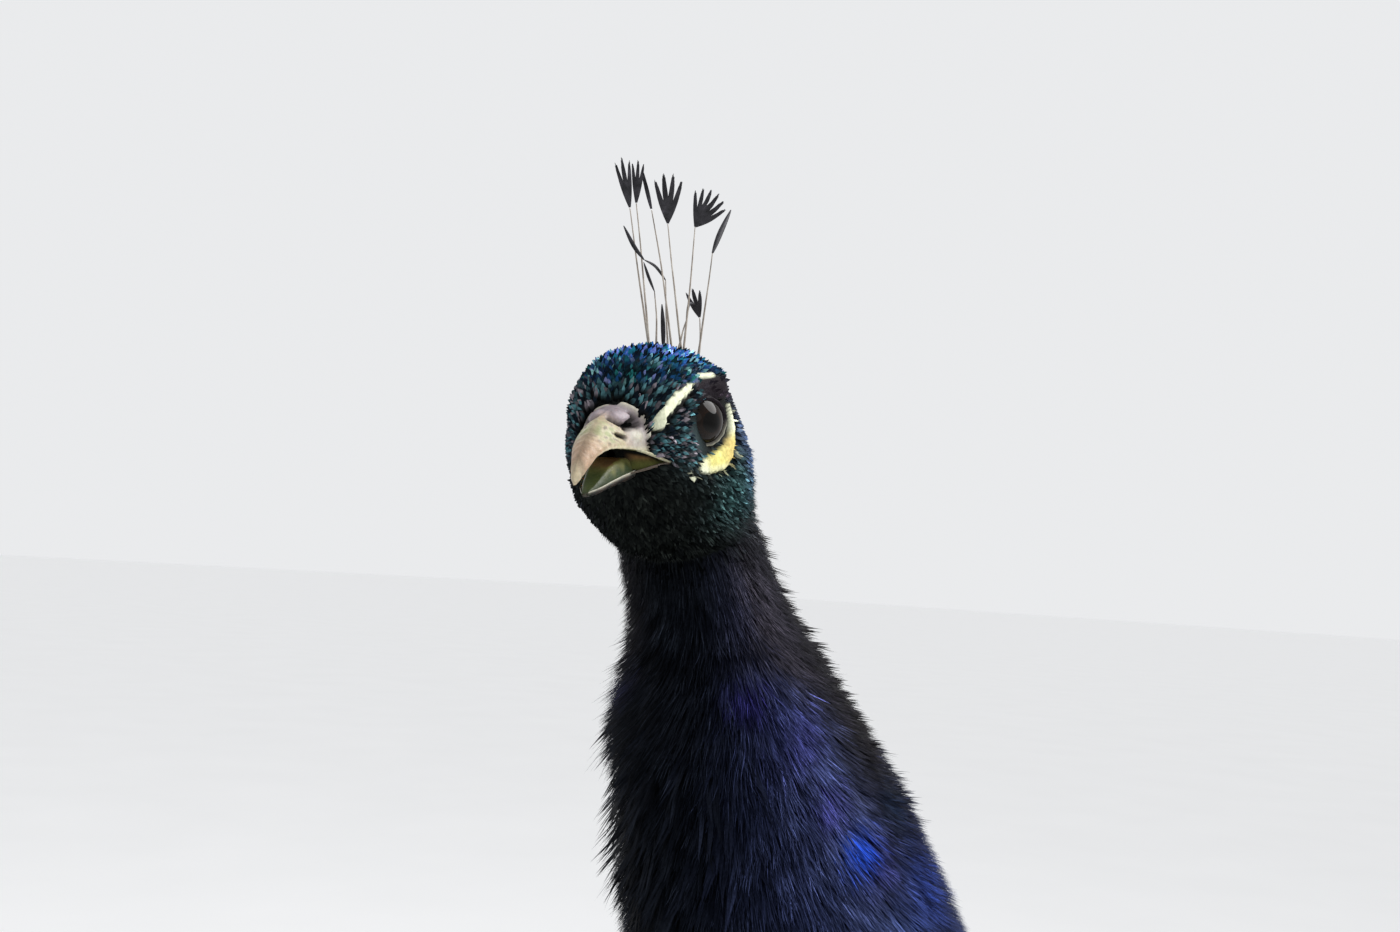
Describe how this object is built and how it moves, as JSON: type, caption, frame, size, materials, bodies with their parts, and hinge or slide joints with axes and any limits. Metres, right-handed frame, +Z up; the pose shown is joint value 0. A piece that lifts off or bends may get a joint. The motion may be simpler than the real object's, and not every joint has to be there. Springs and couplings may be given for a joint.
{
  "type": "standing peacock",
  "caption": "Life-size Indian peafowl cock standing on both feet, head turned to its left, fan-tipped crest raised and long folded train laid on the floor behind.",
  "frame": {"origin": "bottom centre of the whole bird's box, on the floor it stands on", "axes": "+Z up, the breast faces -Y, the train lies towards +Y, the bird's left side is +X"},
  "size_m": [0.3066, 1.8608, 0.7908],
  "materials": {
    "face_feathers": "satin",
    "blue_feathers": "satin",
    "barred_feathers": "matt",
    "chestnut_feathers": "matt",
    "train_feathers": "satin",
    "tail_feathers": "matt",
    "thigh_feathers": "matt",
    "crest_feathers": "matt",
    "eyes": "gloss",
    "bill": "satin",
    "legs": "matt",
    "claws": "satin"
  },
  "bodies": {
    "root": {"trunk": "blue_feathers", "breast": "blue_feathers", "neck_lower": "blue_feathers", "neck_upper": "blue_feathers", "head": "face_feathers", "eye_left": "eyes", "eye_right": "eyes", "bill_upper": "bill", "bill_lower": "bill", "crest": "crest_feathers", "tail": "tail_feathers", "train_root": "train_feathers", "train_middle": "train_feathers", "train_end": "train_feathers", "wing_left": "barred_feathers", "flight_feathers_left": "chestnut_feathers", "thigh_left": "thigh_feathers", "shank_left": "legs", "foot_left": "legs", "spur_left": "claws", "claw_left_middle": "claws", "claw_left_inner": "claws", "claw_left_outer": "claws", "claw_left_hind": "claws", "wing_right": "barred_feathers", "flight_feathers_right": "chestnut_feathers", "thigh_right": "thigh_feathers", "shank_right": "legs", "foot_right": "legs", "spur_right": "claws", "claw_right_middle": "claws", "claw_right_inner": "claws", "claw_right_outer": "claws", "claw_right_hind": "claws"}
  },
  "joints": []
}
